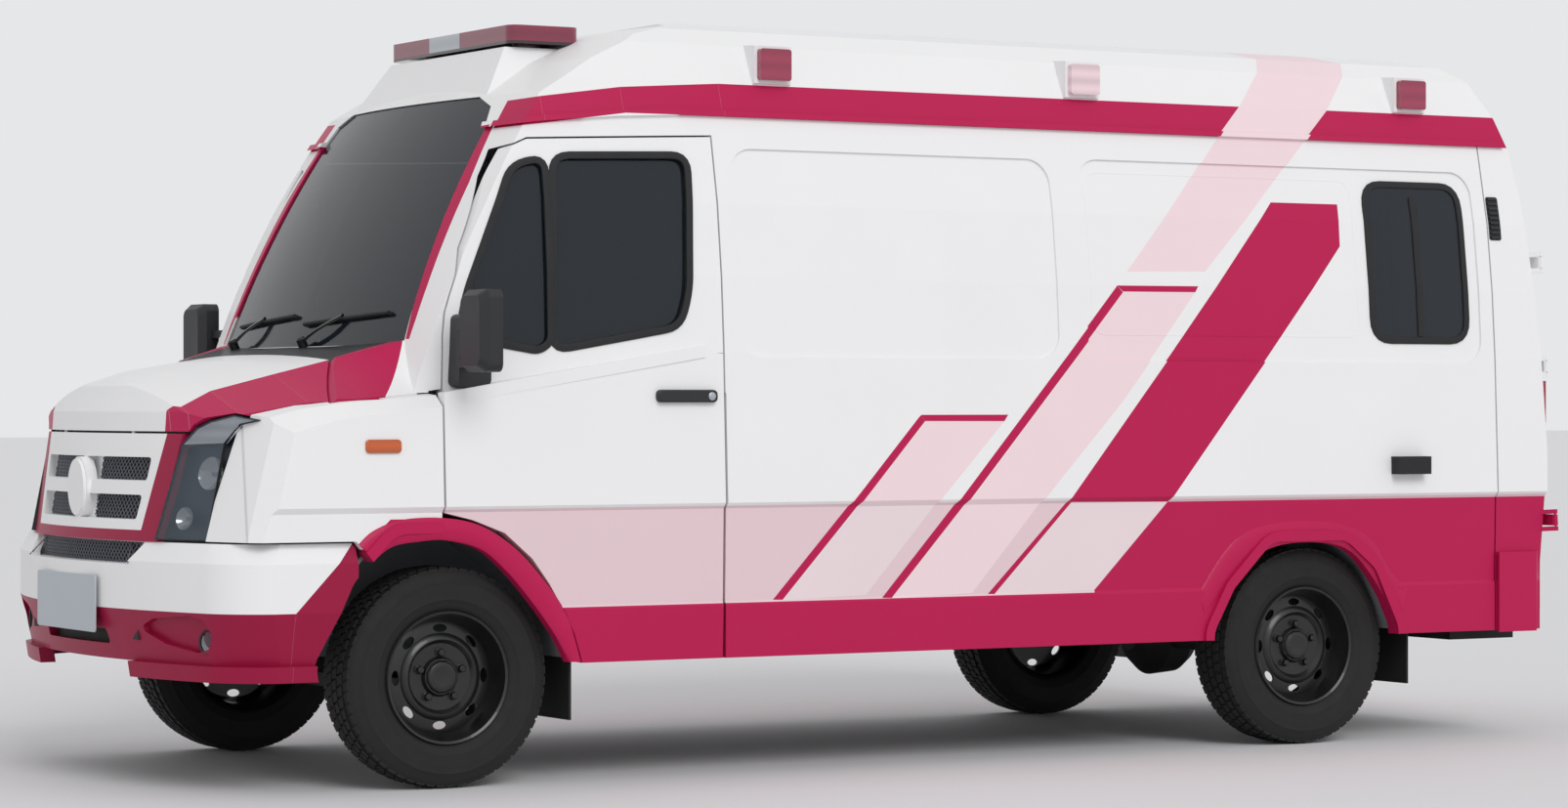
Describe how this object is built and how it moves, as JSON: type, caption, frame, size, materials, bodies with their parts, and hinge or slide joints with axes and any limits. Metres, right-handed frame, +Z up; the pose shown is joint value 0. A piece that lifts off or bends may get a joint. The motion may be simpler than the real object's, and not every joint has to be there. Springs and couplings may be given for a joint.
{
  "type": "ambulance",
  "caption": "High-roof van ambulance with short bonnet, magenta stripes, roof light bar, side beacons, windowed rear doors and black steel wheels.",
  "frame": {"origin": "on the ground under the middle of the overall length and width", "axes": "+X forwards, +Y to the vehicle's left, +Z up"},
  "size_m": [5.3505, 2.43, 2.5049],
  "materials": {
    "white_paint": "gloss",
    "magenta_paint": "gloss",
    "magenta_plastic": "gloss",
    "clear_glass": "clear, lightly tinted",
    "dark_glass": "dark tint",
    "lamp_lens": "clear with a smoked lower part",
    "red_lens": "gloss",
    "beacon_lens": "gloss",
    "lightbar_lens": "gloss",
    "black_plastic": "satin",
    "black_rubber": "matte",
    "floor_metal": "matte",
    "black_steel": "satin",
    "black_wheel": "satin",
    "tyre": "matte",
    "engine_metal": "rough",
    "seat_vinyl": "satin",
    "bench_plastic": "satin"
  },
  "bodies": {
    "body": {"beacon_housings": "white_paint", "beacons": "beacon_lens", "bench": "bench_plastic", "body_side_left": "white_paint", "body_side_right": "white_paint", "cab_frame": "white_paint", "chassis": "black_steel", "cowl": "magenta_paint", "dashboard": "black_plastic", "door_posts": "white_paint", "door_stops": "black_rubber", "engine": "engine_metal", "fender_left": "white_paint", "fender_right": "white_paint", "floor": "floor_metal", "front_axle": "black_steel", "front_bumper": "magenta_plastic", "fuel_tank": "black_steel", "grille": "white_paint", "headlamps": "lamp_lens", "leaf_springs": "black_steel", "lightbar": "lightbar_lens", "mud_flaps": "black_rubber", "partition": "white_paint", "propeller_shaft": "black_steel", "rear_axle": "black_steel", "rear_bumper": "magenta_paint", "rear_frame": "white_paint", "roof": "white_paint", "seats": "seat_vinyl", "side_windows": "dark_glass", "steering_column": "black_plastic", "tail_lamps": "red_lens", "windscreen": "clear_glass"},
    "cab_door_left": {"cab_door_left": "white_paint", "cab_door_left_glass": "clear_glass", "mirror_left": "black_plastic"},
    "cab_door_right": {"cab_door_right": "white_paint", "cab_door_right_glass": "clear_glass", "mirror_right": "black_plastic"},
    "rear_door_left": {"rear_door_left": "white_paint", "rear_door_left_glass": "dark_glass"},
    "rear_door_right": {"rear_door_right": "white_paint", "rear_door_right_glass": "dark_glass"},
    "bonnet": {"bonnet": "white_paint"},
    "steering_wheel": {"steering_wheel": "black_plastic"},
    "knuckle_left": {"knuckle_left": "black_steel"},
    "knuckle_right": {"knuckle_right": "black_steel"},
    "wheel_front_left": {"tyre_front_left": "tyre", "rim_front_left": "black_wheel"},
    "wheel_front_right": {"tyre_front_right": "tyre", "rim_front_right": "black_wheel"},
    "wheel_rear_left": {"tyre_rear_left": "tyre", "rim_rear_left": "black_wheel"},
    "wheel_rear_right": {"tyre_rear_right": "tyre", "rim_rear_right": "black_wheel"}
  },
  "joints": [
    {"name": "cab_door_left_hinge", "type": "hinge", "parent": "body", "child": "cab_door_left", "pos_m": [1.8, 0.985, 0.9], "axis": [0, 0, -1], "range_deg": [0, 70]},
    {"name": "cab_door_right_hinge", "type": "hinge", "parent": "body", "child": "cab_door_right", "pos_m": [1.8, -0.985, 0.9], "axis": [0, 0, 1], "range_deg": [0, 70]},
    {"name": "rear_door_left_hinge", "type": "hinge", "parent": "body", "child": "rear_door_left", "pos_m": [-2.661, 0.994, 0.885], "axis": [-0.038, 0.0399, -0.9985], "range_deg": [0, 266]},
    {"name": "rear_door_right_hinge", "type": "hinge", "parent": "body", "child": "rear_door_right", "pos_m": [-2.661, -0.994, 0.885], "axis": [0.038, 0.0399, 0.9985], "range_deg": [0, 266]},
    {"name": "bonnet_hinge", "type": "hinge", "parent": "body", "child": "bonnet", "pos_m": [1.99, 0, 1.325], "axis": [0, -1, 0], "range_deg": [0, 55]},
    {"name": "steer_left", "type": "hinge", "parent": "body", "child": "knuckle_left", "pos_m": [1.755, 0.735, 0.348], "axis": [0, 0, 1], "range_deg": [-35, 35]},
    {"name": "steer_right", "type": "hinge", "parent": "body", "child": "knuckle_right", "pos_m": [1.755, -0.735, 0.348], "axis": [0, 0, 1], "range_deg": [-35, 35]},
    {"name": "steering_wheel_turn", "type": "hinge", "parent": "body", "child": "steering_wheel", "pos_m": [1.465, -0.4, 1.17], "axis": [-0.8838, 0, 0.4679], "range_deg": [-525, 525]},
    {"name": "wheel_front_left_spin", "type": "hinge", "parent": "knuckle_left", "child": "wheel_front_left", "pos_m": [1.755, 0.8025, 0.348], "axis": [0, 1, 0], "continuous": true},
    {"name": "wheel_front_right_spin", "type": "hinge", "parent": "knuckle_right", "child": "wheel_front_right", "pos_m": [1.755, -0.8025, 0.348], "axis": [0, 1, 0], "continuous": true},
    {"name": "wheel_rear_left_spin", "type": "hinge", "parent": "body", "child": "wheel_rear_left", "pos_m": [-1.595, 0.8025, 0.348], "axis": [0, 1, 0], "continuous": true},
    {"name": "wheel_rear_right_spin", "type": "hinge", "parent": "body", "child": "wheel_rear_right", "pos_m": [-1.595, -0.8025, 0.348], "axis": [0, 1, 0], "continuous": true}
  ],
  "couplings": [
    {"joint": "steer_right", "follows": "steer_left", "ratio": 1},
    {"joint": "steering_wheel_turn", "follows": "steer_left", "ratio": 15}
  ]
}
